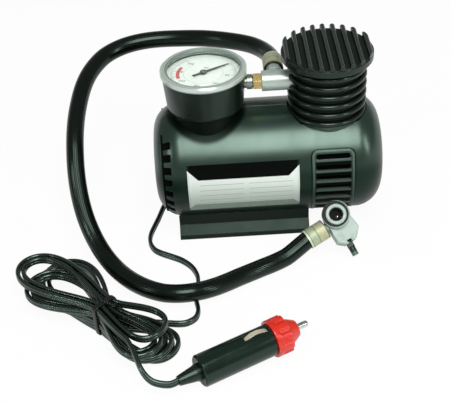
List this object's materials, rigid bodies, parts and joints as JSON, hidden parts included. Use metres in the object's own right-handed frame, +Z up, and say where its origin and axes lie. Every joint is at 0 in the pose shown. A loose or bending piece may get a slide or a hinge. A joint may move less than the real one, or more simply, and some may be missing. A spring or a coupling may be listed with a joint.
{
  "type": "portable tire inflator",
  "caption": "Portable 12 V air compressor: round casing on a stand, top gauge, finned cylinder cover, hose with lever chuck, hank of twin cord and lighter-socket plug.",
  "frame": {"origin": "centre of the bounding box's bottom, measured without the cord, the hose and what is on them", "axes": "+X along the casing towards the cylinder, +Y away from the front with the label, +Z up"},
  "size_m": [0.2175, 0.2315, 0.1139],
  "materials": {
    "casing": "satin",
    "stand": "satin",
    "black_plastic": "satin",
    "label": "satin",
    "silver_plastic": "satin",
    "lens": "clear",
    "dial": "matte",
    "pointer": "matte",
    "brass": "satin",
    "pale_brass": "satin",
    "steel": "satin",
    "silver": "polished",
    "cast_aluminium": "cast",
    "alloy": "satin",
    "rubber": "matte",
    "hose_rubber": "satin",
    "cord_pvc": "satin",
    "red_plastic": "satin",
    "copper": "wound",
    "carbon": "matte",
    "bell": "matte",
    "seal": "matte"
  },
  "bodies": {
    "root": {"front_shell": "casing", "rear_shell": "casing", "stand": "stand", "stand_pads": "rubber", "casing_screws": "steel", "front_label": "label", "gauge_case": "black_plastic", "gauge_bezel": "silver_plastic", "gauge_lens": "lens", "gauge_dial": "dial", "bourdon_tube": "brass", "gauge_socket": "brass", "movement_frame": "brass", "outlet_manifold": "silver", "hose_tail": "alloy", "fin_cover": "black_plastic", "top_cap": "black_plastic", "cylinder_barrel": "cast_aluminium", "valve_plate": "steel", "outlet_reed": "steel", "cylinder_head": "cast_aluminium", "head_screws": "steel", "shaft_bushes": "brass", "gearbox_frame": "cast_aluminium", "motor_can": "steel", "motor_end_bell": "bell", "motor_brushes": "carbon", "cord_gland": "black_plastic", "cord_lead": "cord_pvc", "cord_hank": "cord_pvc", "cord_tie": "black_plastic", "cord_tail": "cord_pvc", "plug_relief": "black_plastic", "plug_body": "black_plastic", "plug_spring": "steel", "air_hose": "hose_rubber", "hose_ferrules": "pale_brass", "chuck_body": "alloy", "chuck_collar": "black_plastic", "chuck_grommet": "rubber", "chuck_pin": "steel"},
    "rotor": {"motor_rotor": "copper", "motor_shaft": "steel", "motor_pinion": "brass"},
    "crank": {"crank_gear": "steel", "crank_shaft": "steel"},
    "piston": {"piston_rod": "cast_aluminium", "piston_seal": "seal", "crank_pin": "steel"},
    "pointer": {"gauge_pointer": "pointer", "gauge_arbor": "brass"},
    "sector": {"gauge_sector": "brass"},
    "link": {"gauge_link": "brass"},
    "lever": {"chuck_lever": "black_plastic"},
    "plunger": {"chuck_plunger": "brass"},
    "nose": {"plug_nose": "red_plastic"},
    "centre_contact": {"plug_contact": "silver", "plug_fuse": "steel"},
    "upper_contact": {"side_contact_upper": "silver"},
    "lower_contact": {"side_contact_lower": "silver"}
  },
  "joints": [
    {"name": "motor_spin", "type": "hinge", "parent": "root", "child": "rotor", "pos_m": [0, 0, 0.0302], "axis": [1, 0, 0], "continuous": true},
    {"name": "crank_spin", "type": "hinge", "parent": "root", "child": "crank", "pos_m": [0.0233, 0, 0.047], "axis": [1, 0, 0], "continuous": true},
    {"name": "piston_slide", "type": "slide", "parent": "root", "child": "piston", "axis": [0, 0, 1], "range_m": [-0.012, 0]},
    {"name": "pointer_turn", "type": "hinge", "parent": "root", "child": "pointer", "pos_m": [-0.0355, 0, 0.0995], "axis": [0, 0, 1], "range_deg": [-270, 0], "stiffness_Nm_per_rad": 0.0001},
    {"name": "sector_turn", "type": "hinge", "parent": "root", "child": "sector", "pos_m": [-0.03744, 0.01103, 0.0872], "axis": [0, 0, 1], "range_deg": [0, 45]},
    {"name": "link_turn", "type": "hinge", "parent": "sector", "child": "link", "pos_m": [-0.03636, 0.01591, 0.0887], "axis": [0, 0, 1], "range_deg": [-45, 0]},
    {"name": "lever_turn", "type": "hinge", "parent": "root", "child": "lever", "pos_m": [0.04389, -0.05063, 0.01038], "axis": [0.91, 0.3082, 0.2775], "range_deg": [0, 80]},
    {"name": "plunger_slide", "type": "slide", "parent": "root", "child": "plunger", "axis": [0, -0.6691, 0.7431], "range_m": [0, 0.001]},
    {"name": "nose_turn", "type": "hinge", "parent": "root", "child": "nose", "pos_m": [-0.00458, -0.12805, 0.01058], "axis": [0.8982, 0.4381, 0.0376], "continuous": true},
    {"name": "contact_slide", "type": "slide", "parent": "root", "child": "centre_contact", "axis": [0.8982, 0.4381, 0.0376], "range_m": [-0.002, 0], "stiffness_N_per_m": 800, "springref_m": 0.002},
    {"name": "upper_contact_slide", "type": "slide", "parent": "root", "child": "upper_contact", "axis": [0.0338, 0.0165, -0.9993], "range_m": [0, 0.0012], "stiffness_N_per_m": 100, "springref_m": -0.001},
    {"name": "lower_contact_slide", "type": "slide", "parent": "root", "child": "lower_contact", "axis": [-0.0338, -0.0165, 0.9993], "range_m": [0, 0.0012], "stiffness_N_per_m": 100, "springref_m": -0.001}
  ],
  "couplings": [
    {"joint": "motor_spin", "follows": "crank_spin", "ratio": -4.6},
    {"joint": "sector_turn", "follows": "pointer_turn", "ratio": -0.16667},
    {"joint": "link_turn", "follows": "pointer_turn", "ratio": 0.16667},
    {"joint": "lever_turn", "follows": "plunger_slide", "rad_per_m": 1396.2}
  ]
}
